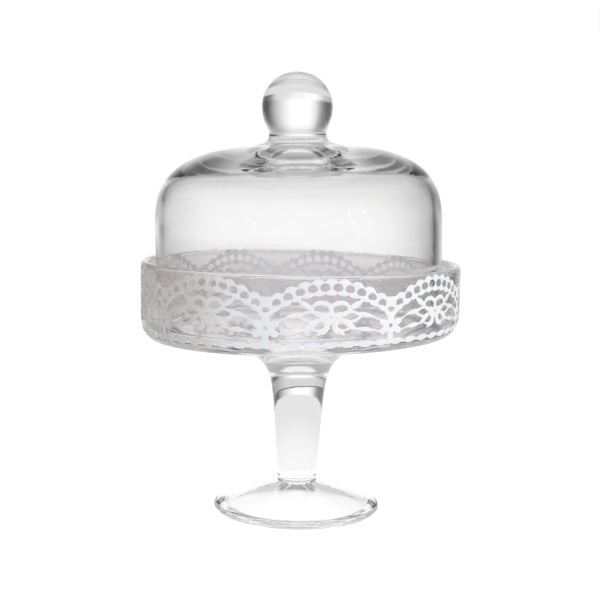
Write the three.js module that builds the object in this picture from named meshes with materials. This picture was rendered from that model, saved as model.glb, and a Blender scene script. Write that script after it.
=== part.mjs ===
// Glass cake stand with a lift-off dome, in millimetres, +Z up.
// The origin is the centre of the foot's underside. Every piece is a solid of revolution about Z.

import * as THREE from 'three';

// Driving dimensions.
const FOOT_RADIUS = 56.5;
const FOOT_RIM = 5;
const FOOT_TOP = 19;
const FOOT_HOLLOW_RADIUS = 46;
const FOOT_HOLLOW_DEPTH = 12;
const COLLAR_RADIUS = 13.7;
const STEM_BASE = 24;
const STEM_RADIUS = 13.3;
const TRAY_RADIUS = 107.1;
const TRAY_WALL = 5;
const TRAY_UNDERSIDE = 121;
const TRAY_FLOOR = 127;
const TRAY_RIM = 170;
const LACE_BOTTOM = 128;
const LACE_TOP = 168.5;
const LACE_THICKNESS = 0.3;
const BELL_RADIUS = 96;
const BELL_WALL = 5.5;
const CROWN_WALL = 10.7;
const BELL_SHOULDER = 191;
const BELL_TOP = 248;
const NECK_RADIUS = 19.4;
const NECK_BASE_RADIUS = 29;
const NECK_TOP = 256.5;
const KNOB_RADIUS = 23.7;
const KNOB_CENTRE = 273.4;
const KNOB_TOP = 296.2;

// Fused pieces keep this gap, so that each one is a solid of its own.
const JOIN_GAP = 0.3;
// Flats round each solid of revolution.
const SEGMENTS = 48;

const CLEAR_GLASS = { color: 0xeef3f2, roughness: 0.03, metalness: 0 };
const TRANSFER_ENAMEL = { color: 0xf1f2ee, roughness: 0.35, metalness: 0 };

// Points of a profile from a function of t, which runs from 0 to 1 in equal steps.
function sweep(steps, pointAt) {
  return Array.from({ length: steps + 1 }, (_, i) => new THREE.Vector2(...pointAt(i / steps)));
}

// Part of an ellipse, from one angle to another in degrees. 0 points outwards and 90 points up.
function arc(centreR, centreZ, radiusR, radiusZ, from, to, steps) {
  return sweep(steps, (t) => {
    const angle = THREE.MathUtils.degToRad(from + (to - from) * t);
    return [centreR + radiusR * Math.cos(angle), centreZ + radiusZ * Math.sin(angle)];
  });
}

// A named solid made by turning a profile of (radius, height) points about Z.
function turned(name, profile, look) {
  const geometry = new THREE.LatheGeometry(profile, SEGMENTS);
  geometry.rotateX(Math.PI / 2);
  const mesh = new THREE.Mesh(geometry, new THREE.MeshStandardMaterial(look));
  mesh.name = name;
  return mesh;
}

function point(radius, height) {
  return new THREE.Vector2(radius, height);
}

// Foot: a shallow cone with a rounded rim, a flat ring to stand on and a hollow underside.
function foot() {
  const rimInset = 3;
  const underside = sweep(5, (t) => {
    const height = FOOT_HOLLOW_DEPTH * (1 - t ** 1.5);
    return [FOOT_HOLLOW_RADIUS * t, height];
  });
  const rim = arc(FOOT_RADIUS - rimInset, FOOT_RIM / 2, rimInset, FOOT_RIM / 2, -90, 60, 5);
  const cone = sweep(3, (t) => [
    THREE.MathUtils.lerp(FOOT_RADIUS - rimInset, COLLAR_RADIUS, t),
    THREE.MathUtils.lerp(FOOT_RIM, FOOT_TOP, t),
  ]);
  return turned('foot', [...underside, ...rim, ...cone, point(0, FOOT_TOP)], CLEAR_GLASS);
}

// Stem collar: the flattened button of glass that joins the stem to the foot.
function stemCollar() {
  const bottom = FOOT_TOP + JOIN_GAP;
  const top = STEM_BASE - JOIN_GAP;
  const half = (top - bottom) / 2;
  const bulge = arc(COLLAR_RADIUS - half / 2, bottom + half, half / 2, half, -90, 90, 6);
  return turned('stem_collar', [point(0, bottom), ...bulge, point(0, top)], CLEAR_GLASS);
}

// Stem: a drawn rod that thickens slowly upwards and opens into a trumpet under the tray.
function stemRadius(height) {
  const taper = 0.073 * (height - STEM_BASE);
  const coneStart = 103.7;
  const coneSlope = 1.02;
  const flare = 7.8 * Math.exp((Math.min(height, coneStart) - coneStart) / 7.7);
  return STEM_RADIUS + taper + flare + coneSlope * Math.max(0, height - coneStart);
}

function stem() {
  const top = TRAY_UNDERSIDE - JOIN_GAP;
  const straight = sweep(3, (t) => {
    const height = THREE.MathUtils.lerp(STEM_BASE, 84, t);
    return [stemRadius(height), height];
  });
  const trumpet = sweep(8, (t) => {
    const height = THREE.MathUtils.lerp(88, top, t);
    return [stemRadius(height), height];
  });
  return turned('stem', [point(0, STEM_BASE), ...straight, ...trumpet, point(0, top)], CLEAR_GLASS);
}

// Outside of the tray's wall: upright, and drawn in along an ellipse towards the underside.
const CORNER_RADIUS = 9;
const CORNER_HEIGHT = 15;

function wallRadius(height) {
  const below = Math.max(0, TRAY_UNDERSIDE + CORNER_HEIGHT - height) / CORNER_HEIGHT;
  return TRAY_RADIUS - CORNER_RADIUS * (1 - Math.sqrt(1 - below * below));
}

// Tray: a plate with an upright gallery wall. The dome stands on its floor, inside the wall.
function tray() {
  const innerRadius = TRAY_RADIUS - TRAY_WALL;
  const innerCorner = 4;
  const lip = TRAY_WALL / 2;
  const cornerR = TRAY_RADIUS - CORNER_RADIUS;
  const cornerZ = TRAY_UNDERSIDE + CORNER_HEIGHT;
  const profile = [
    point(0, TRAY_UNDERSIDE),
    ...arc(cornerR, cornerZ, CORNER_RADIUS, CORNER_HEIGHT, -90, 0, 6),
    ...arc(TRAY_RADIUS - lip, TRAY_RIM - lip, lip, lip, 0, 180, 6),
    ...arc(innerRadius - innerCorner, TRAY_FLOOR + innerCorner, innerCorner, innerCorner, 0, -90, 3),
    point(0, TRAY_FLOOR),
  ];
  return turned('tray', profile, CLEAR_GLASS);
}

// Lace transfer: the fired-on enamel band round the outside of the gallery wall.
function laceTransfer() {
  const cornerTop = TRAY_UNDERSIDE + CORNER_HEIGHT;
  const curved = sweep(4, (t) => {
    const height = THREE.MathUtils.lerp(LACE_BOTTOM, cornerTop, t);
    return [wallRadius(height) + JOIN_GAP, height];
  });
  const inner = [...curved, point(TRAY_RADIUS + JOIN_GAP, LACE_TOP - TRAY_WALL / 2)];
  const outer = inner.map((p) => point(p.x + LACE_THICKNESS, p.y));
  return turned('lace_transfer', [...outer, ...inner.reverse(), outer[0]], TRANSFER_ENAMEL);
}

// Crown of the dome: height over a radius, for a given rim radius and rise above the shoulder.
function crownHeight(radius, rimRadius, rise) {
  return BELL_SHOULDER + rise * Math.cbrt(1 - (radius / rimRadius) ** 3);
}

// A crown profile from the axis to the shoulder, with its points closer where it bends most.
// A higher power makes the crown flatter and its shoulder tighter.
function crown(steps, rimRadius, rise, power) {
  return sweep(steps, (t) => {
    const angle = (t * Math.PI) / 2;
    const radius = rimRadius * Math.sin(angle) ** (2 / power);
    const height = BELL_SHOULDER + rise * Math.cos(angle) ** (2 / power);
    return t === 1 ? [rimRadius, BELL_SHOULDER] : [radius, height];
  });
}

// Dome bell: an open-bottomed glass shell with a heavy, flattened crown and an upright skirt.
function domeBell() {
  const lip = BELL_WALL / 2;
  const bottom = TRAY_FLOOR + JOIN_GAP;
  const rise = BELL_TOP - BELL_SHOULDER;
  const profile = [
    ...crown(10, BELL_RADIUS - BELL_WALL, rise - CROWN_WALL, 4),
    ...arc(BELL_RADIUS - lip, bottom + lip, lip, lip, -180, 0, 6),
    ...crown(10, BELL_RADIUS, rise, 3).reverse(),
  ];
  return turned('dome_bell', profile, CLEAR_GLASS);
}

// Knob neck: the short waist between the crown and the knob, spread where it meets the crown.
function knobNeck() {
  const rise = BELL_TOP - BELL_SHOULDER;
  const seat = sweep(4, (t) => {
    const radius = NECK_BASE_RADIUS * t;
    return [radius, crownHeight(radius, BELL_RADIUS, rise) + JOIN_GAP];
  });
  const edge = 0.3;
  const start = seat[seat.length - 1].y + edge;
  const waist = NECK_TOP - 1.5;
  const spread = sweep(6, (t) => {
    const radius = NECK_RADIUS + (NECK_BASE_RADIUS - NECK_RADIUS) * (1 - t) ** 3.6;
    return [radius, THREE.MathUtils.lerp(start, waist, t)];
  });
  const top = [point(NECK_RADIUS, NECK_TOP), point(0, NECK_TOP)];
  return turned('knob_neck', [...seat, ...spread, ...top], CLEAR_GLASS);
}

// Knob: a solid ball, a little longer below its middle where it runs into the neck.
function domeKnob() {
  const bottom = NECK_TOP + JOIN_GAP;
  const lowerRadius = 29.3;
  const cut = THREE.MathUtils.radToDeg(Math.asin((bottom - KNOB_CENTRE) / lowerRadius));
  const lower = arc(0, KNOB_CENTRE, KNOB_RADIUS, lowerRadius, cut, 0, 3);
  const upper = arc(0, KNOB_CENTRE, KNOB_RADIUS, KNOB_TOP - KNOB_CENTRE, 0, 90, 7);
  return turned('dome_knob', [point(0, bottom), ...lower, ...upper.slice(1)], CLEAR_GLASS);
}

// The stand is one body, and the dome is another that lifts off it.
const stand = new THREE.Group();
stand.add(foot(), stemCollar(), stem(), tray(), laceTransfer());

const dome = new THREE.Group();
dome.add(domeBell(), knobNeck(), domeKnob());

const cakeStand = new THREE.Group();
cakeStand.add(stand, dome);

export default cakeStand;
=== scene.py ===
"""Looks of the glass cake stand with its lift-off dome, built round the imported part.

The stand is blown glass, so every glass piece is a solid of revolution that carries the same
small hand-made irregularities. The lace is a raised enamel transfer on the gallery wall.
Lengths are in metres, apart from the lace's own drawing, which is in millimetres.
"""

import math

import bpy
import numpy as np
from mathutils import Matrix, Vector, geometry


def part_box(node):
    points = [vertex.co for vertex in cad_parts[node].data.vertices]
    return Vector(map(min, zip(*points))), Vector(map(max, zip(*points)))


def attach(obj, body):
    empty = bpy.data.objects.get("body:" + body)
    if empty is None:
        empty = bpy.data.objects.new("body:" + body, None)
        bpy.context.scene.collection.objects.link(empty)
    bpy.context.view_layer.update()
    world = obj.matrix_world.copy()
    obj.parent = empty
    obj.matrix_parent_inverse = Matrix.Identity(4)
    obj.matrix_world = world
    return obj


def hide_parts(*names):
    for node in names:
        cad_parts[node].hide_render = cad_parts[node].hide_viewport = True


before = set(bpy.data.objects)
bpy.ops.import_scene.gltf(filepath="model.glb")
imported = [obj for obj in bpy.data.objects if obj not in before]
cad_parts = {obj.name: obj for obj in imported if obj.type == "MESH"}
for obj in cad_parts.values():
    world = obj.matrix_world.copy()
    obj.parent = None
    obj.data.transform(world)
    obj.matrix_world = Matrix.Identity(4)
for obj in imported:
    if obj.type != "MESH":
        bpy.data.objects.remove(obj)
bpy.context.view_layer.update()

MM = 0.001


# ---------------------------------------------------------------- sizes taken from the imported parts

def extent(node):
    """Radius, lowest height and highest height of a CAD node."""
    low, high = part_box(node)
    return high[0], low[2], high[2]


FOOT_RADIUS, GROUND, FOOT_TOP = extent("foot")
COLLAR_RADIUS, _, _ = extent("stem_collar")
_, STEM_BASE, _ = extent("stem")
TRAY_RADIUS, TRAY_UNDERSIDE, TRAY_RIM = extent("tray")
_, LACE_BOTTOM, _ = extent("lace_transfer")
BELL_RADIUS, BELL_BOTTOM, BELL_TOP = extent("dome_bell")
_, _, NECK_TOP = extent("knob_neck")
KNOB_RADIUS, _, KNOB_TOP = extent("dome_knob")

# Sizes inside those boxes. The crown and the ceiling under it are superellipses of these powers.
FOOT_RIM = 5.0 * MM
FOOT_HOLLOW_RADIUS = 46.0 * MM
FOOT_HOLLOW_DEPTH = 12.0 * MM
STEM_RADIUS = 13.3 * MM
STEM_TAPER = 0.073
FLARE_WIDTH = 7.8 * MM
FLARE_LENGTH = 7.7 * MM
CONE_START = 103.7 * MM
CONE_SLOPE = 1.02
TRAY_WALL = 5.0 * MM
TRAY_FLOOR = BELL_BOTTOM - 0.3 * MM
CORNER_RADIUS = 9.0 * MM
CORNER_HEIGHT = 15.0 * MM
BELL_WALL = 5.5 * MM
BELL_SHOULDER = BELL_TOP - 57.0 * MM
CROWN_WALL = 10.7 * MM
CROWN_POWER = 3.0
CEILING_POWER = 4.0
NECK_RADIUS = 19.4 * MM
NECK_SPREAD = 29.0 * MM
KNOB_CENTRE = KNOB_TOP - 22.8 * MM
KNOB_LOWER_HALF = 29.3 * MM

# ---------------------------------------------------------------- hand-made irregularity

# The slant is a slope. The waves' lengths are in millimetres, and the last two are random seeds.
FLOOR_SLANT = 0.030
RIPPLE_DEPTH = 0.05 * MM
WAVES = 7
WAVE_LENGTHS = (40.0, 110.0)
OUTER_WAVES = 11
INNER_WAVES = 23


def smooth_step(x):
    x = np.clip(x, 0.0, 1.0)
    return x * x * (3.0 - 2.0 * x)


def lean_stand(co):
    """The tray's floor isn't quite square to its rim and foot: it rises a little towards +X."""
    rise = smooth_step((co[:, 2] - FOOT_TOP) / (TRAY_UNDERSIDE - FOOT_TOP))
    fall = smooth_step((TRAY_RIM - co[:, 2]) / (TRAY_RIM - TRAY_FLOOR))
    out = co.copy()
    out[:, 2] += FLOOR_SLANT * co[:, 0] * rise * fall ** 2.5
    return out


def lean_dome(co):
    """The dome stands square on the tray's floor, so it leans as the floor does."""
    out = co.copy()
    out[:, 2] += FLOOR_SLANT * co[:, 0]
    out[:, 0] -= FLOOR_SLANT * (co[:, 2] - TRAY_FLOOR)
    return out


def ripple(co, seed):
    """Slow waves in blown glass, as a radial offset in metres at each point."""
    rng = np.random.default_rng(seed)
    total = np.zeros(len(co))
    for _ in range(WAVES):
        length = rng.uniform(*WAVE_LENGTHS) * MM
        heading = rng.normal(size=3)
        heading[2] *= 0.6
        heading *= 2.0 * math.pi / (length * np.linalg.norm(heading))
        total += np.sin(co @ heading + rng.uniform(0.0, 2.0 * math.pi))
    return total * RIPPLE_DEPTH / 2.0


def rippled(co, seed):
    """The points moved outwards by the waves, which fade out towards the axis."""
    radius = np.hypot(co[:, 0], co[:, 1])
    strength = smooth_step(radius / (12.0 * MM))
    grow = 1.0 + strength * ripple(co, seed) / np.maximum(radius, 1.0 * MM)
    out = co.copy()
    out[:, :2] *= grow[:, None]
    return out


# ---------------------------------------------------------------- profiles


def line(start, end, steps=1):
    start, end = np.array(start), np.array(end)
    return [tuple(start + (end - start) * i / steps) for i in range(steps + 1)]


def arc(centre, radii, first, last, steps):
    """Part of an ellipse in the (radius, height) plane; 0 degrees is outwards and 90 is up."""
    turn = np.radians(np.linspace(first, last, steps + 1))
    return [(centre[0] + radii[0] * math.cos(t), centre[1] + radii[1] * math.sin(t)) for t in turn]


def curve(steps, point_at):
    """The points that point_at gives for shares 0 to 1 of the way."""
    return [point_at(i / steps) for i in range(steps + 1)]


def crown_arc(rim, rise, power, reach, steps):
    """A flattened crown from the axis out to the radius reach, as a superellipse."""
    def point_at(t):
        angle = t * math.asin((reach / rim) ** (power / 2.0))
        radius = rim * math.sin(angle) ** (2.0 / power)
        height = rise * math.cos(angle) ** (2.0 / power)
        return radius, BELL_SHOULDER + height
    return curve(steps, point_at)


def stem_radius(height):
    """A slow taper, a trumpet flare at the top and a cone above it, under the tray."""
    taper = STEM_TAPER * (height - STEM_BASE)
    flare = FLARE_WIDTH * math.exp((min(height, CONE_START) - CONE_START) / FLARE_LENGTH)
    return STEM_RADIUS + taper + flare + CONE_SLOPE * max(0.0, height - CONE_START)


def wall_radius(height):
    """Outside of the tray's wall, with its drawn-in foot and its rounded lip."""
    lip = TRAY_WALL / 2.0
    low = np.clip((TRAY_UNDERSIDE + CORNER_HEIGHT - height) / CORNER_HEIGHT, 0.0, 1.0)
    high = np.clip((height - TRAY_RIM + lip) / lip, 0.0, 1.0)
    drawn_in = CORNER_RADIUS * (1.0 - np.sqrt(1.0 - low ** 2))
    rounded = lip * (1.0 - np.sqrt(1.0 - high ** 2))
    return TRAY_RADIUS - drawn_in - rounded


# ---------------------------------------------------------------- mesh building

GLASS, FUSED = 0, 1
SEGMENTS = 192
ON_AXIS = 1e-7
SHARP_DEGREES = 35.0


def turned(name, runs, shape, materials):
    """A closed solid of revolution, whose points are put through the function shape.

    Each run is (points, material number, wave seed). Runs follow each other from the axis back to
    the axis, and share their end points."""
    rings, numbers, seeds = [], [], []
    for points, number, seed in runs:
        for point in points[1 if rings else 0:]:
            if rings:
                numbers.append(number)
            rings.append(point)
            seeds.append(seed)
    turn = np.arange(SEGMENTS) * 2.0 * math.pi / SEGMENTS
    verts, index, count = [], [], 0
    for (radius, height), seed in zip(rings, seeds):
        if radius < ON_AXIS:
            ring = np.array([[0.0, 0.0, height]])
        else:
            heights = np.full(SEGMENTS, height)
            ring = np.stack([radius * np.sin(turn), -radius * np.cos(turn), heights], axis=1)
            ring = rippled(ring, seed)
        index.append((count, len(ring)))
        verts.append(ring)
        count += len(ring)
    co = shape(np.concatenate(verts))
    faces, slots = [], []
    for (a, size_a), (b, size_b), number in zip(index, index[1:], numbers):
        for k in range(SEGMENTS):
            n = (k + 1) % SEGMENTS
            if size_a == 1:
                face = (a, b + n, b + k)
            elif size_b == 1:
                face = (a + k, a + n, b)
            else:
                face = (a + k, a + n, b + n, b + k)
            faces.append(face)
            slots.append(number)
    return solid(name, co, faces, slots, materials)


def solid(name, co, faces, slots, materials):
    """An object from points and faces, smooth but for its sharp corners."""
    mesh = bpy.data.meshes.new(name)
    mesh.from_pydata(co.tolist(), [], faces)
    for material in materials:
        mesh.materials.append(material)
    mesh.polygons.foreach_set("material_index", slots)
    mesh.shade_smooth()
    mesh.set_sharp_from_angle(angle=math.radians(SHARP_DEGREES))
    mesh.update()
    piece = bpy.data.objects.new(name, mesh)
    bpy.context.scene.collection.objects.link(piece)
    return piece


# ---------------------------------------------------------------- materials


class Graph:
    """A short way to write the nodes of a material or a world."""

    def __init__(self, owner, output="ShaderNodeOutputMaterial"):
        owner.use_nodes = True
        self.owner = owner
        self.tree = owner.node_tree
        self.tree.nodes.clear()
        self.output = self.tree.nodes.new(output)

    def add(self, kind, settings=None, **inputs):
        """A new node. Settings are its properties, and inputs go by socket name, with _ for a space."""
        node = self.tree.nodes.new(kind)
        for name, value in (settings or {}).items():
            setattr(node, name, value)
        for name, value in inputs.items():
            self.feed(value, node.inputs[name.replace("_", " ")])
        return node

    def feed(self, value, socket):
        """Links a socket's output, or sets a plain value."""
        if isinstance(value, bpy.types.NodeSocket):
            self.tree.links.new(value, socket)
        else:
            socket.default_value = value

    def finish(self, node):
        """Makes a shader node what the output shows."""
        self.feed(node.outputs[0], self.output.inputs["Surface"])
        return self.owner

    def place(self, scale):
        """The point's place in metres, times a scale, so that a pattern has a real size."""
        where = self.add("ShaderNodeTexCoord").outputs["Object"]
        return self.add("ShaderNodeMapping", Vector=where, Scale=(scale,) * 3).outputs["Vector"]

    def noise(self, scale, detail, roughness, distortion=0.0):
        """A soft random pattern, about 1 / scale metres across."""
        return self.add(
            "ShaderNodeTexNoise", Vector=self.place(scale), Detail=detail, Roughness=roughness,
            Distortion=distortion,
        ).outputs["Fac"]

    def along(self, axis):
        """The point's place along one axis of the object, in metres."""
        return self.add("ShaderNodeSeparateXYZ", Vector=self.place(1.0)).outputs[axis]

    def spread(self, value, first, last, low=0.0, high=1.0):
        """Maps first..last smoothly to low..high, and holds those outside."""
        return self.add("ShaderNodeMapRange", {"interpolation_type": "SMOOTHSTEP"}, Value=value, **{
            "From Min": first, "From Max": last, "To Min": low, "To Max": high,
        }).outputs["Result"]

    def tint(self, share, first, second):
        """A mix of two colours."""
        node = self.add("ShaderNodeMix", {"data_type": "RGBA"})
        for value, number in ((share, 0), (first, 6), (second, 7)):
            self.feed(value, node.inputs[number])
        return node.outputs[2]

    def blend(self, share, first, second):
        """A mix of two numbers."""
        node = self.add("ShaderNodeMix", {"data_type": "FLOAT"})
        for value, number in ((share, 0), (first, 2), (second, 3)):
            self.feed(value, node.inputs[number])
        return node.outputs[0]

    def over(self, share, first, second):
        """A mix of two shaders."""
        node = self.add("ShaderNodeMixShader", Fac=share)
        self.feed(first.outputs[0], node.inputs[1])
        self.feed(second.outputs[0], node.inputs[2])
        return node

    def ramp(self, factor, stops):
        """A colour for each factor, from stops of (factor, colour)."""
        node = self.add("ShaderNodeValToRGB", Fac=factor)
        elements = node.color_ramp.elements
        while len(elements) > 1:
            elements.remove(elements[-1])
        for i, (at, colour) in enumerate(stops):
            element = elements[0] if i == 0 else elements.new(at)
            element.position = at
            element.color = (*colour, 1.0)
        return node.outputs["Color"]


def clear_glass(name, tint, shade_band=None):
    """Fire-polished glass: nearly mirror smooth, with faint swirls and a trace of handling marks.

    The last argument is (lower height, upper height, tint): between those heights the glass takes on that
    tint, as painted shade."""
    g = Graph(bpy.data.materials.new(name))
    swirls = g.noise(38.0, 2.0, 0.45, distortion=0.6)
    waves = g.add("ShaderNodeBump", Strength=0.02, Distance=1.0 * MM, Height=swirls)
    bump = g.add(
        "ShaderNodeBump", Strength=0.01, Distance=0.2 * MM, Height=g.noise(240.0, 2.0, 0.5),
        Normal=waves.outputs["Normal"],
    )
    haze = g.spread(g.noise(70.0, 4.0, 0.6), 0.45, 0.8, 0.0, 0.035)
    # Painted shade: between the two heights the glass's tint is mixed towards a darker one.
    if shade_band:
        lower, upper, shade_tint = shade_band
        tint = g.tint(g.spread(g.along("Z"), lower, upper), tint, shade_tint)
    return g.finish(g.add(
        "ShaderNodeBsdfPrincipled", IOR=1.5, Base_Color=tint, Transmission_Weight=1.0,
        Roughness=haze, Normal=bump.outputs["Normal"],
    ))


def fused_joint():
    """Where two gathers of hot glass were joined there is no surface, so light passes straight on."""
    g = Graph(bpy.data.materials.new("fused_joint"))
    return g.finish(g.add("ShaderNodeBsdfTransparent", Color=(1.0, 1.0, 1.0, 1.0)))


def enamel():
    """Fired white enamel: a pearly, uneven film that lets some light through, painted darker and beige
    towards -X as shade.
    """
    g = Graph(bpy.data.materials.new("lace_enamel"))
    clouds = g.noise(26.0, 3.0, 0.55)
    pearl_tint = g.ramp(clouds, [
        (0.30, (0.92, 0.92, 0.88)), (0.45, (0.92, 0.94, 0.93)),
        (0.58, (0.87, 0.94, 0.96)), (0.72, (0.91, 0.95, 0.92)),
    ])
    # Painted shade: towards -X the enamel turns darker and beige, for the side that less light falls on.
    painted_shade_tint = g.ramp(clouds, [(0.35, (0.63, 0.615, 0.57)), (0.65, (0.73, 0.71, 0.68))])
    painted_shade_share = g.spread(g.along("X"), -75.0 * MM, -35.0 * MM, 0.85, 0.0)
    grain = g.noise(1400.0, 3.0, 0.6)
    bump = g.add("ShaderNodeBump", Strength=0.25, Distance=0.05 * MM, Height=grain)
    front = g.add(
        "ShaderNodeBsdfPrincipled", IOR=1.5, Base_Color=g.tint(painted_shade_share, pearl_tint, painted_shade_tint),
        Normal=bump.outputs["Normal"], Roughness=g.spread(grain, 0.0, 1.0, 0.28, 0.5),
    )
    through = g.add("ShaderNodeBsdfTranslucent", Color=(0.95, 0.93, 0.95, 1.0))
    return g.finish(g.over(0.42, front, through))


clear = clear_glass("clear_glass", (0.985, 0.99, 0.985, 1.0))
# Painted shade: the dome turns greyer from 15 to 40 mm over the shoulder and stays so above, for the dark
# band that light gives its thick crown.
crown_painted_shade = (BELL_SHOULDER + 15.0 * MM, BELL_SHOULDER + 40.0 * MM, (0.83, 0.83, 0.828, 1.0))
blown = clear_glass("blown_glass", (0.97, 0.97, 0.968, 1.0), crown_painted_shade)
# Painted shade and painted reflection: the tray turns grey-lavender from the lace's foot up, for the lace's
# shade and the lace seen through the glass.
lace_band_painted_shade = (LACE_BOTTOM, LACE_BOTTOM + 6.0 * MM, (0.915, 0.885, 0.90, 1.0))
shaded_tray_glass = clear_glass("tray_glass_painted_shade", (0.98, 0.975, 0.978, 1.0), lace_band_painted_shade)
fused = fused_joint()
white_enamel = enamel()
GLASS_SLOTS = (clear, fused)
BELL_SLOTS = (blown, fused)
TRAY_SLOTS = (shaded_tray_glass, fused)

# ---------------------------------------------------------------- glass pieces


def make_foot():
    inset = 3.0 * MM
    hollow = curve(24, lambda t: (FOOT_HOLLOW_RADIUS * t, GROUND + FOOT_HOLLOW_DEPTH * (1.0 - t ** 1.5)))
    rim = arc((FOOT_RADIUS - inset, GROUND + FOOT_RIM / 2), (inset, FOOT_RIM / 2), -90, 60, 16)
    collar = COLLAR_RADIUS - 0.6 * MM
    cone = line(rim[-1], (collar, FOOT_TOP), 20)
    runs = [
        (hollow, GLASS, INNER_WAVES),
        (line(hollow[-1], rim[0], 4) + rim, GLASS, OUTER_WAVES),
        (cone, GLASS, OUTER_WAVES),
        (line(cone[-1], (0.0, FOOT_TOP), 3), FUSED, OUTER_WAVES),
    ]
    return turned("foot_visual", runs, lean_stand, GLASS_SLOTS)


def make_collar():
    middle = (FOOT_TOP + STEM_BASE) / 2
    half = (STEM_BASE - FOOT_TOP) / 2
    waist = COLLAR_RADIUS - 0.6 * MM
    bulge = curve(14, lambda t: (waist + 0.6 * MM * math.sin(math.pi * t), middle + half * (2 * t - 1)))
    runs = [
        (line((0.0, FOOT_TOP), bulge[0], 3), FUSED, OUTER_WAVES),
        (bulge, GLASS, OUTER_WAVES),
        (line(bulge[-1], (0.0, STEM_BASE), 3), FUSED, OUTER_WAVES),
    ]
    return turned("stem_collar_visual", runs, lean_stand, GLASS_SLOTS)


def make_stem():
    def side_at(t):
        height = STEM_BASE + (TRAY_UNDERSIDE - STEM_BASE) * t
        return stem_radius(height) - 0.2 * MM * (1 - t), height

    side = curve(90, side_at)
    runs = [
        (line((0.0, STEM_BASE), side[0], 3), FUSED, OUTER_WAVES),
        (side, GLASS, OUTER_WAVES),
        (line(side[-1], (0.0, TRAY_UNDERSIDE), 6), FUSED, OUTER_WAVES),
    ]
    return turned("stem_visual", runs, lean_stand, GLASS_SLOTS)


def make_tray():
    inner = TRAY_RADIUS - TRAY_WALL
    lip = TRAY_WALL / 2
    fillet = 4.0 * MM
    head = stem_radius(TRAY_UNDERSIDE)
    corner = (TRAY_RADIUS - CORNER_RADIUS, TRAY_UNDERSIDE + CORNER_HEIGHT)
    outside = (
        line((head, TRAY_UNDERSIDE), (corner[0], TRAY_UNDERSIDE), 10)[:-1]
        + arc(corner, (CORNER_RADIUS, CORNER_HEIGHT), -90, 0, 28)[:-1]
        + line((TRAY_RADIUS, corner[1]), (TRAY_RADIUS, TRAY_RIM - lip), 14)[:-1]
        + arc((TRAY_RADIUS - lip, TRAY_RIM - lip), (lip, lip), 0, 90, 8)
    )
    inside = (
        arc((TRAY_RADIUS - lip, TRAY_RIM - lip), (lip, lip), 90, 180, 8)[:-1]
        + line((inner, TRAY_RIM - lip), (inner, TRAY_FLOOR + fillet), 14)[:-1]
        + arc((inner - fillet, TRAY_FLOOR + fillet), (fillet, fillet), 0, -90, 10)[:-1]
        + line((inner - fillet, TRAY_FLOOR), (0.0, TRAY_FLOOR), 16)
    )
    runs = [
        (line((0.0, TRAY_UNDERSIDE), (head, TRAY_UNDERSIDE), 6), FUSED, OUTER_WAVES),
        (outside, GLASS, OUTER_WAVES),
        (inside, GLASS, INNER_WAVES),
    ]
    return turned("tray_visual", runs, lean_stand, TRAY_SLOTS)


def make_bell():
    """Its crown stops at the neck's foot, and under the neck the two are fused."""
    lip = BELL_WALL / 2
    rise = BELL_TOP - BELL_SHOULDER
    inner = BELL_RADIUS - BELL_WALL
    ceiling = crown_arc(inner, rise - CROWN_WALL, CEILING_POWER, inner, 72)
    skirt_in = line(ceiling[-1], (inner, BELL_BOTTOM + lip), 24)[1:]
    edge = arc((BELL_RADIUS - lip, BELL_BOTTOM + lip), (lip, lip), -180, 0, 14)
    skirt_out = line(edge[-1], (BELL_RADIUS, BELL_SHOULDER), 24)[1:]
    spread = crown_arc(BELL_RADIUS, rise, CROWN_POWER, NECK_SPREAD, 12)
    crown = crown_arc(BELL_RADIUS, rise, CROWN_POWER, BELL_RADIUS, 90)
    shoulder = [p for p in crown if p[0] > NECK_SPREAD + 0.2 * MM]
    runs = [
        (ceiling + skirt_in, GLASS, INNER_WAVES),
        (edge, GLASS, OUTER_WAVES),
        ([edge[-1]] + skirt_out + shoulder[::-1][1:] + [spread[-1]], GLASS, OUTER_WAVES),
        (spread[::-1], FUSED, OUTER_WAVES),
    ]
    return turned("dome_bell_visual", runs, lean_dome, BELL_SLOTS)


def make_neck():
    rise = BELL_TOP - BELL_SHOULDER
    seat = crown_arc(BELL_RADIUS, rise, CROWN_POWER, NECK_SPREAD, 12)
    waist = NECK_TOP - 1.5 * MM
    start = seat[-1][1]
    spread = curve(24, lambda t: (
        NECK_RADIUS + (NECK_SPREAD - NECK_RADIUS) * (1.0 - t) ** 3.6,
        start + (waist - start) * t,
    ))
    groove = curve(8, lambda t: (
        NECK_RADIUS - 0.35 * MM * math.sin(math.pi * t), waist + (NECK_TOP - waist) * t,
    ))
    runs = [
        (seat, FUSED, OUTER_WAVES),
        (spread, GLASS, OUTER_WAVES),
        (groove, GLASS, OUTER_WAVES),
        (line(groove[-1], (0.0, NECK_TOP), 5), FUSED, OUTER_WAVES),
    ]
    return turned("knob_neck_visual", runs, lean_dome, GLASS_SLOTS)


def make_knob():
    cut_off = math.degrees(math.asin((NECK_TOP - KNOB_CENTRE) / KNOB_LOWER_HALF))
    lower = arc((0.0, KNOB_CENTRE), (KNOB_RADIUS, KNOB_LOWER_HALF), cut_off, 0, 24)
    upper = arc((0.0, KNOB_CENTRE), (KNOB_RADIUS, KNOB_TOP - KNOB_CENTRE), 0, 90, 44)
    upper[-1] = (0.0, KNOB_TOP)
    runs = [
        (line((0.0, NECK_TOP), lower[0], 5), FUSED, OUTER_WAVES),
        (lower, GLASS, OUTER_WAVES),
        (upper, GLASS, OUTER_WAVES),
    ]
    return turned("dome_knob_visual", runs, lean_dome, GLASS_SLOTS)


foot = make_foot()
collar = make_collar()
stem = make_stem()
tray = make_tray()
bell = make_bell()
neck = make_neck()
knob = make_knob()

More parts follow.
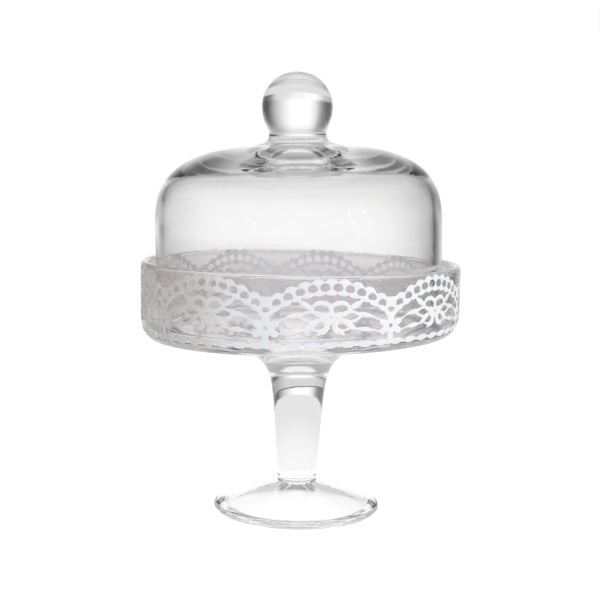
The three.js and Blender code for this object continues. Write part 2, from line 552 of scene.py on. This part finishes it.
for piece, node, body in (
    (foot, "foot", "stand"), (collar, "stem_collar", "stand"), (stem, "stem", "stand"),
    (tray, "tray", "stand"), (bell, "dome_bell", "dome"), (neck, "knob_neck", "dome"),
    (knob, "dome_knob", "dome"),
):
    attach(piece, body)
    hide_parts(node)

# ---------------------------------------------------------------- lace

# The drawing of one half repeat is in millimetres: s runs round the wall from the middle of a big
# flower to the middle of a small one, and h runs up from the chain along the bottom.
REPEATS = 9
HALF_TILE = math.pi * TRAY_RADIUS / MM / REPEATS
CHAIN_DROP = 1.1
CHAIN_HEIGHT = 1.4
ARCH_TOP = 34.5
ARCH_BEND = 0.01
LACE_LOW = -4.0
LACE_HIGH = 39.5
CELL = 0.4
INNER_STRIDE = 4
INNER_DEPTH = 0.35

# On the wall: the first flower's angle, the uneven spacing and the film's thickness in millimetres.
FIRST_FLOWER = math.radians(9.95)
STRETCH = 0.045
FILM_EDGE = 0.05
FILM_RISE = 0.16
FILM_ROUNDING = 0.9
FILM_ROOT = -0.08


# Each shape below is a signed distance in millimetres, negative inside. The value "at" is the
# shape's middle, and it is turned anticlockwise by its degrees.

def own_axes(s, h, at, degrees):
    """How far each point is along and across a turned shape, from its middle."""
    turn = math.radians(degrees)
    along = (s - at[0]) * math.cos(turn) + (h - at[1]) * math.sin(turn)
    across = (h - at[1]) * math.cos(turn) - (s - at[0]) * math.sin(turn)
    return along, across


def lens(s, h, at, half_length, half_width, degrees=0.0):
    """An almond shape, between two arcs."""
    along, across = own_axes(s, h, at, degrees)
    radius = (half_length ** 2 + half_width ** 2) / (2.0 * half_width)
    offset = radius - half_width
    return np.maximum(np.hypot(along, across - offset), np.hypot(along, across + offset)) - radius


def disc(s, h, at, radius):
    return np.hypot(s - at[0], h - at[1]) - radius


def oval(s, h, at, half_length, half_width, degrees=0.0):
    along, across = own_axes(s, h, at, degrees)
    size = np.hypot(along / half_length, across / half_width)
    return (size - 1.0) * min(half_length, half_width)


def bar(s, h, start, end, first_half, last_half):
    """A straight stroke whose half-width changes from one end to the other."""
    run = np.array(end) - np.array(start)
    t = np.clip(((s - start[0]) * run[0] + (h - start[1]) * run[1]) / (run @ run), 0.0, 1.0)
    half_width = first_half + (last_half - first_half) * t
    return np.hypot(s - start[0] - t * run[0], h - start[1] - t * run[1]) - half_width


def join(*fields, blend=0.5):
    """Union with softened inner corners, as ink or thread would fill them."""
    total = fields[0]
    for field in fields[1:]:
        mix = np.clip(0.5 + 0.5 * (field - total) / blend, 0.0, 1.0)
        total = field * (1.0 - mix) + total * mix - blend * mix * (1.0 - mix)
    return total


def cut(field, *holes):
    for hole in holes:
        field = np.maximum(field, -hole)
    return field


def arch(s):
    """Height of the scalloped arch's line of holes over the chain, in mm."""
    return ARCH_TOP - ARCH_BEND * s * s


def arch_slope(s):
    return math.degrees(math.atan(-2.0 * ARCH_BEND * s))


def chain(s, h):
    """The row of links along the bottom."""
    pitch = HALF_TILE * 2.0 / 7.0
    links = [lens(s, h, (pitch * k, -CHAIN_DROP), pitch * 0.53, 2.15) for k in range(4)]
    return join(*links, blend=0.2)


def scallops(s, h):
    """The arch: a band with bumps along its top and a row of holes that follow its slope."""
    bumps = [disc(s, h, (7.55 * k, arch(7.55 * k) + 0.9), 4.15) for k in range(5)]
    band = np.maximum(np.abs(h - arch(s) - 0.2) - 3.2, s - 35.5)
    holes = []
    for k in range(5):
        at = 3.7 + 7.15 * k - 0.06 * k * k
        shrink = 0.05 * k
        holes.append(oval(s, h, (at, arch(at) - 0.6), 2.95 - shrink, 2.75 - shrink, arch_slope(at)))
    return cut(join(band, *bumps), *holes)


def beads(s, h):
    """The almond-shaped beads that edge the arch from below."""
    places = [7.0 * k - 0.14 * k * k for k in range(6)]
    return [lens(s, h, (at, arch(at) - 3.6), 3.95, 1.65, arch_slope(at)) for at in places]


def small_flower(s, h):
    centre = (HALF_TILE, 9.5)
    top = bar(s, h, centre, (HALF_TILE, 16.2), 2.2, 2.5)
    upper = oval(s, h, (HALF_TILE - 4.5, 11.6), 3.5, 2.2, 155.0)
    lower = oval(s, h, (HALF_TILE - 4.3, 6.8), 3.6, 2.3, 212.0)
    stalk = bar(s, h, centre, (HALF_TILE, -CHAIN_DROP), 1.9, 2.1)
    return cut(join(top, upper, lower, stalk), disc(s, h, centre, 1.35))


def big_flower(s, h):
    centre = (0.0, 16.1)
    upper_loop = cut(oval(s, h, (5.2, 21.2), 6.2, 5.2, 8.0), oval(s, h, (5.4, 20.9), 4.4, 2.7, 8.0))
    middle_loop = cut(lens(s, h, (10.9, 16.5), 8.3, 3.9, 2.0), lens(s, h, (11.0, 16.5), 5.6, 2.2, 2.0))
    lower_loop = cut(oval(s, h, (7.2, 11.4), 5.0, 4.1, -8.0), oval(s, h, (7.2, 11.3), 3.4, 2.6, -8.0))
    thorn = lens(s, h, (10.6, 11.6), 5.6, 1.5, 148.0)
    crescent = join(lens(s, h, (5.6, 7.2), 3.6, 1.3, 140.0), lens(s, h, (2.6, 8.6), 3.6, 1.3, 122.0))
    petals = join(
        lens(s, h, (0.0, 20.4), 4.6, 1.3, 90.0),
        lens(s, h, (3.6, 17.3), 4.0, 1.8, 20.0),
        lens(s, h, (1.7, 13.3), 3.3, 2.1, 118.0),
        disc(s, h, centre, 2.9),
    )
    return cut(join(upper_loop, middle_loop, lower_loop, thorn, crescent, petals), disc(s, h, centre, 0.75))


def garland(s, h):
    """Two leafy tendrils from the big flower to the small one, and a leaf above them."""
    leaf = lens(s, h, (14.5, 23.4), 5.4, 1.8, 32.0)
    upper = join(
        lens(s, h, (20.2, 17.3), 5.6, 1.6, -10.0),
        bar(s, h, (24.0, 16.5), (32.5, 12.4), 0.55, 0.5),
    )
    lower = join(
        lens(s, h, (20.4, 8.2), 5.2, 1.55, -6.0),
        bar(s, h, (12.5, 9.0), (16.5, 8.7), 0.6, 0.6),
        bar(s, h, (24.5, 7.6), (31.0, 6.2), 0.55, 0.5),
    )
    return join(leaf, upper, lower)


def lace_field(s, h):
    """The lace over half a repeat: all the motifs, and the knot where two arches meet."""
    knot = np.maximum(np.abs(s - HALF_TILE) - 3.5, np.abs(h - 24.6) - 3.4)
    under_knot = oval(s, h, (HALF_TILE, 19.2), 3.1, 2.4)
    beside_knot = lens(s, h, (34.6, 18.4), 3.4, 1.5, -58.0)
    arches = cut(join(scallops(s, h), knot), under_knot)
    return join(
        chain(s, h), arches, *beads(s, h), beside_knot, small_flower(s, h), big_flower(s, h),
        garland(s, h), blend=0.35,
    )


def outline_points(s, h, field):
    """Where the field crosses zero on a grid: the points, and the segments that join them.

    Points keep a little way off the grid's corners, so that no two of them meet."""
    points, number, segments = [], {}, []

    def crossing(a, b):
        key = (a, b) if a < b else (b, a)
        if key not in number:
            (i, j), (m, n) = key
            t = field[i, j] / (field[i, j] - field[m, n])
            t = min(max(t, 0.03), 0.97)
            number[key] = len(points)
            points.append((s[i] + (s[m] - s[i]) * t, h[j] + (h[n] - h[j]) * t))
        return number[key]

    inside = field < 0.0
    for i in range(len(s) - 1):
        for j in range(len(h) - 1):
            corners = [(i, j), (i + 1, j), (i + 1, j + 1), (i, j + 1)]
            states = [bool(inside[c]) for c in corners]
            if all(states) or not any(states):
                continue
            sides = [(k, (k + 1) % 4) for k in range(4)]
            crossed = [crossing(corners[a], corners[b]) for a, b in sides if states[a] != states[b]]
            if len(crossed) == 2:
                segments.append(tuple(crossed))
            else:
                middle = field[i:i + 2, j:j + 2].mean() < 0.0
                first = 0 if states[0] == middle else 1
                segments.append((crossed[first], crossed[first + 1]))
                segments.append((crossed[(first + 2) % 4], crossed[(first + 3) % 4]))
    return points, segments


def lace_sheet():
    """Half a repeat of the lace as flat triangles: points (s, h) in mm, and faces.

    Besides the outline there are points inside, at every few cells and along both edges."""
    s = np.linspace(0.0, HALF_TILE, int(HALF_TILE / CELL) + 1)
    h = np.linspace(LACE_LOW, LACE_HIGH, int((LACE_HIGH - LACE_LOW) / CELL) + 1)
    grid_s, grid_h = np.meshgrid(s, h, indexing="ij")
    field = lace_field(grid_s, grid_h)
    for row in (0, -1):
        field[:, row] = np.maximum(field[:, row], 0.01)
    points, segments = outline_points(s, h, field)
    for i in range(len(s)):
        if i % INNER_STRIDE and i != len(s) - 1:
            continue
        for j in range(0, len(h), INNER_STRIDE):
            if field[i, j] < -INNER_DEPTH:
                points.append((s[i], h[j]))
    made = geometry.delaunay_2d_cdt([Vector(p) for p in points], segments, [], 0, 1e-5)
    flat = np.array([tuple(v) for v in made[0]])
    faces = np.array(made[2])
    middle = flat[faces].mean(axis=1)
    return flat, faces[lace_field(middle[:, 0], middle[:, 1]) < 0.0]


def welded(angles, heights):
    """Which point stands for each group of points at one place, and each point's group.

    Both are counted in steps so small that only the same point can share a cell of 4 by 4."""
    angle_step, height_step, cell = 1e-6, 1e-8, 4
    full_turn = round(2.0 * math.pi / angle_step)
    around = np.round((angles % (2.0 * math.pi)) / angle_step).astype(np.int64) % full_turn
    up = np.round(heights / height_step).astype(np.int64)
    keys = np.stack([around // cell, up // cell], axis=1)
    _, first, same = np.unique(keys, axis=0, return_index=True, return_inverse=True)
    return first, same.reshape(-1)


def make_lace():
    """The half repeat is mirrored and turned round the wall, welded, and given its thickness.

    The film is thickest away from its edges, and its root sits just inside the glass."""
    flat, faces = lace_sheet()
    depth = -lace_field(flat[:, 0], flat[:, 1])
    angle = flat[:, 0] * MM / TRAY_RADIUS
    height = LACE_BOTTOM + CHAIN_HEIGHT * MM + flat[:, 1] * MM
    angles, heights, depths, triangles = [], [], [], []
    for k in range(REPEATS):
        for side in (1.0, -1.0):
            start = len(flat) * len(angles)
            even = 2.0 * math.pi * k / REPEATS + side * angle
            angles.append(FIRST_FLOWER + even + STRETCH * np.sin(even))
            heights.append(height)
            depths.append(depth)
            triangles.append(start + (faces if side > 0 else faces[:, ::-1]))
    angles, heights, depths = map(np.concatenate, (angles, heights, depths))
    triangles = np.concatenate(triangles)
    first, same = welded(angles, heights)
    triangles = same[triangles]
    angles, heights, depths = angles[first], heights[first], depths[first]
    puff = FILM_EDGE + FILM_RISE * smooth_step(depths / FILM_ROUNDING)

    def layer(offset):
        radius = wall_radius(heights)
        around = np.stack([radius * np.sin(angles), -radius * np.cos(angles), heights], axis=1)
        around = rippled(around, OUTER_WAVES)
        outwards = np.stack([np.sin(angles), -np.cos(angles), np.zeros(len(angles))], axis=1)
        return lean_stand(around + outwards * offset[:, None])

    count = len(angles)
    co = np.concatenate([layer(puff * MM), layer(np.full(count, FILM_ROOT * MM))])
    pairs = np.concatenate([triangles[:, [0, 1]], triangles[:, [1, 2]], triangles[:, [2, 0]]])
    directed = set(map(tuple, pairs.tolist()))
    rim = [(a, b) for a, b in directed if (b, a) not in directed]
    faces = triangles.tolist() + (triangles[:, ::-1] + count).tolist()
    faces += [(b, a, a + count, b + count) for a, b in sorted(rim)]
    return solid("lace_visual", co, faces, [0] * len(faces), (white_enamel,))


lace = make_lace()
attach(lace, "stand")
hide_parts("lace_transfer")

# ---------------------------------------------------------------- floor, camera, lights


def make_floor():
    """A white floor, brightest under the stand, that fades into the white studio round it."""
    bpy.ops.mesh.primitive_circle_add(
        vertices=128, radius=FLOOR_RADIUS, fill_type="NGON", location=(0.0, 0.0, -FLOOR_GAP),
    )
    floor = bpy.context.object
    floor.name = "floor"
    g = Graph(bpy.data.materials.new("floor"))
    where = g.add("ShaderNodeTexCoord").outputs["Object"]
    distance = g.add("ShaderNodeVectorMath", {"operation": "LENGTH"}, Vector=where).outputs["Value"]
    near = g.spread(distance, 0.07, 0.16, UNDER_FOOT, ROUND_FOOT)
    in_glass = g.blend(g.spread(distance, 0.16, 0.6), near, FLOOR_AWAY)
    direct = g.add("ShaderNodeLightPath").outputs["Is Camera Ray"]
    paint = g.add(
        "ShaderNodeBsdfPrincipled", Roughness=0.9, Base_Color=(0.03, 0.03, 0.03, 1.0),
        Emission_Color=(1.0, 1.0, 1.0, 1.0), Emission_Strength=g.blend(direct, in_glass, SEEN_DIRECTLY),
    )
    gone = g.add("ShaderNodeBsdfTransparent", Color=(1.0, 1.0, 1.0, 1.0))
    floor.data.materials.append(g.finish(g.over(g.spread(distance, *FLOOR_FADE), paint, gone)))


def card_surface():
    """A card's brightness is painted on its mesh as the attribute "level", and its edges as "cover"."""
    g = Graph(bpy.data.materials.new("card"))
    level = g.add("ShaderNodeAttribute", {"attribute_name": "level"}).outputs["Fac"]
    cover = g.add("ShaderNodeAttribute", {"attribute_name": "cover"}).outputs["Fac"]
    glow = g.add("ShaderNodeEmission", Color=(1.0, 1.0, 1.0, 1.0), Strength=level)
    gone = g.add("ShaderNodeBsdfTransparent", Color=(1.0, 1.0, 1.0, 1.0))
    return g.finish(g.over(cover, gone, glow))


def make_card(name, distance, rows, stops, tilt=0.0, columns=61):
    """A curved studio card round the object, out of the camera's sight but not out of the glass's.

    Each stop is (degrees round from straight behind the object towards +X, brightness). Each row is
    (height, share by which it covers what is behind it, shade). A tilt lowers the card towards +X."""
    degrees = np.linspace(stops[0][0], stops[-1][0], columns)
    levels = np.interp(degrees, [at for at, _ in stops], [level for _, level in stops])
    fade = smooth_step((degrees - degrees[0]) / 6.0) * smooth_step((degrees[-1] - degrees) / 6.0)
    turn = np.radians(degrees)
    verts, brightness, share, faces = [], [], [], []
    for height, cover, shade in rows:
        across = distance * np.sin(turn)
        verts += np.stack([across, distance * np.cos(turn), height - tilt * across], axis=1).tolist()
        brightness += (levels * shade).tolist()
        share += (fade * cover).tolist()
    for row in range(len(rows) - 1):
        for k in range(row * columns, (row + 1) * columns - 1):
            faces.append((k, k + 1, k + 1 + columns, k + columns))
    mesh = bpy.data.meshes.new(name)
    mesh.from_pydata(verts, [], faces)
    mesh.attributes.new("level", "FLOAT", "POINT").data.foreach_set("value", brightness)
    mesh.attributes.new("cover", "FLOAT", "POINT").data.foreach_set("value", share)
    mesh.materials.append(card_surface())
    card = bpy.data.objects.new(name, mesh)
    bpy.context.scene.collection.objects.link(card)
    card.visible_camera = False
    card.visible_shadow = False
    card.visible_diffuse = False


def make_camera():
    """The photograph's viewpoint: a little above the rim, looking slightly down, with a slight roll."""
    distance = 0.8125
    height = 0.2385
    pitch = math.radians(6.676)
    roll = math.radians(1.1)
    data = bpy.data.cameras.new("camera")
    data.sensor_width = 36.0
    data.lens = 72.38
    data.clip_start = 0.05
    data.clip_end = 50.0
    camera = bpy.data.objects.new("camera", data)
    bpy.context.scene.collection.objects.link(camera)
    upright = Matrix.Rotation(math.radians(90.0) - pitch, 4, "X")
    place = Matrix.Translation((-0.1 * MM, -distance, height))
    camera.matrix_world = place @ upright @ Matrix.Rotation(roll, 4, "Z")
    bpy.context.scene.camera = camera


def area_light(name, place, size, power):
    """A small square lamp facing the stand, for a point of light on the glass."""
    data = bpy.data.lights.new(name, "AREA")
    data.size = size
    data.energy = power
    light = bpy.data.objects.new(name, data)
    bpy.context.scene.collection.objects.link(light)
    light.location = place
    towards_stand = Vector((0.0, 0.0, LAMPS_AIM)) - Vector(place)
    light.rotation_euler = towards_stand.to_track_quat("-Z", "Y").to_euler()


def make_world():
    """The studio. Behind the object it is white in the middle and dark at both sides, which is what
    draws the dark edges of clear glass. The camera itself sees plain white, and the enamel is lit
    by levels of its own."""
    world = bpy.data.worlds.new("studio")
    bpy.context.scene.world = world
    world.cycles.sampling_method = "NONE"
    g = Graph(world, "ShaderNodeOutputWorld")
    where = g.add("ShaderNodeSeparateXYZ", Vector=g.add("ShaderNodeTexCoord").outputs["Generated"]).outputs
    turn = g.add("ShaderNodeMath", {"operation": "ARCTAN2"})
    g.feed(where["X"], turn.inputs[0])
    g.feed(where["Y"], turn.inputs[1])
    round_the_room = g.add("ShaderNodeMapRange", Value=turn.outputs[0], **{
        "From Min": -math.pi, "From Max": math.pi,
    }).outputs["Result"]

    def band(stops):
        """Brightness by degrees round from straight behind the object towards +X."""
        return g.ramp(round_the_room, [((at + 180.0) / 360.0, (level,) * 3) for at, level in stops])

    low = band(BELOW_EYE_LEVEL)
    level = band(EYE_LEVEL)
    low = g.blend(g.spread(where["Z"], *FLOOR_LINE), FLOOR_AWAY, low)
    level = g.blend(g.spread(where["Z"], *HORIZON), low, level)
    level = g.blend(g.spread(where["Z"], *WALL_TOP), level, UPPER_WALL)
    level = g.blend(g.spread(where["Z"], *CEILING_LINE), level, CEILING)
    lighting = band(LIGHTING)
    path = g.add("ShaderNodeLightPath").outputs
    level = g.blend(path["Diffuse Depth"], level, lighting)
    level = g.blend(path["Is Camera Ray"], level, 1.0)
    g.finish(g.add("ShaderNodeBackground", Color=(1.0, 1.0, 1.0, 1.0), Strength=level))


# The floor's size, and its brightness as the glass shows it and as the camera does.
FLOOR_RADIUS = 1.4
FLOOR_GAP = 0.2 * MM
FLOOR_FADE = (1.1, 1.35)
UNDER_FOOT = 1.06
ROUND_FOOT = 0.88
FLOOR_AWAY = 0.71
SEEN_DIRECTLY = 0.97

# The room's brightness, as the sine of the angle over the horizon at each change of level, and as
# stops of (degrees round from straight behind the object towards +X, brightness) at two levels.
FLOOR_LINE = (-0.45, -0.2)
HORIZON = (-0.13, -0.04)
WALL_TOP = (0.30, 0.60)
CEILING_LINE = (0.86, 0.94)
UPPER_WALL = 0.40
CEILING = 1.05
EYE_LEVEL = [
    (-180, 0.90), (-105, 0.75), (-85, 0.35), (-60, 0.08), (-45, 0.09), (-34, 0.22), (-28, 0.44),
    (-22, 0.79), (-15, 1.02), (5, 1.05), (12, 0.90), (20, 0.66), (28, 0.42), (37, 0.15), (45, 0.02),
    (60, 0.02), (85, 0.35), (105, 0.75), (180, 0.90),
]
BELOW_EYE_LEVEL = [
    (-180, 0.85), (-100, 0.75), (-80, 0.60), (-60, 0.50), (-44, 0.56), (-36, 0.66), (-28, 0.88),
    (-20, 1.05), (-4, 0.96), (4, 0.90), (12, 0.77), (20, 0.77), (28, 0.64), (36, 0.26), (50, 0.06),
    (60, 0.06), (80, 0.5), (100, 0.75), (180, 0.85),
]
LIGHTING = [
    (-180, 1.30), (-150, 0.75), (-120, 0.25), (-60, 0.60), (0, 1.25), (70, 1.1), (120, 1.45),
    (150, 1.9), (180, 1.30),
]
LAMPS_AIM = 0.15

make_floor()
make_camera()
make_world()

# The far edge of a grey backdrop behind the stem: a thin dark line under a lighter band.
make_card(
    "backdrop_edge", 0.30,
    [
        (0.0815, 0.0, 0.2), (0.083, 1.0, 0.2), (0.086, 1.0, 0.25), (0.088, 1.0, 1.0), (0.135, 1.0, 1.0),
        (0.16, 0.0, 1.0),
    ],
    [(-60.0, 0.3), (-45.0, 0.5), (-20.0, 0.70), (15.0, 0.66), (35.0, 0.4), (60.0, 0.2)],
    tilt=0.05,
)
# Three small lamps for the points of light on the dome.
area_light("right_spark", (0.771, -0.919, 0.235), 0.035, 0.9)
area_light("far_right_spark", (0.96, -0.74, 0.235), 0.03, 0.7)
area_light("left_spark", (-0.643, -1.013, 0.225), 0.03, 0.5)

# Light crosses many surfaces of glass on its way through the dome, the tray and the fused joints.
scene = bpy.context.scene
scene.view_settings.view_transform = "Standard"
scene.cycles.max_bounces = 32
scene.cycles.transmission_bounces = 32
scene.cycles.glossy_bounces = 16
scene.cycles.transparent_max_bounces = 48
scene.cycles.diffuse_bounces = 6
scene.cycles.caustics_refractive = True
scene.cycles.caustics_reflective = True
scene.cycles.blur_glossy = 0.0
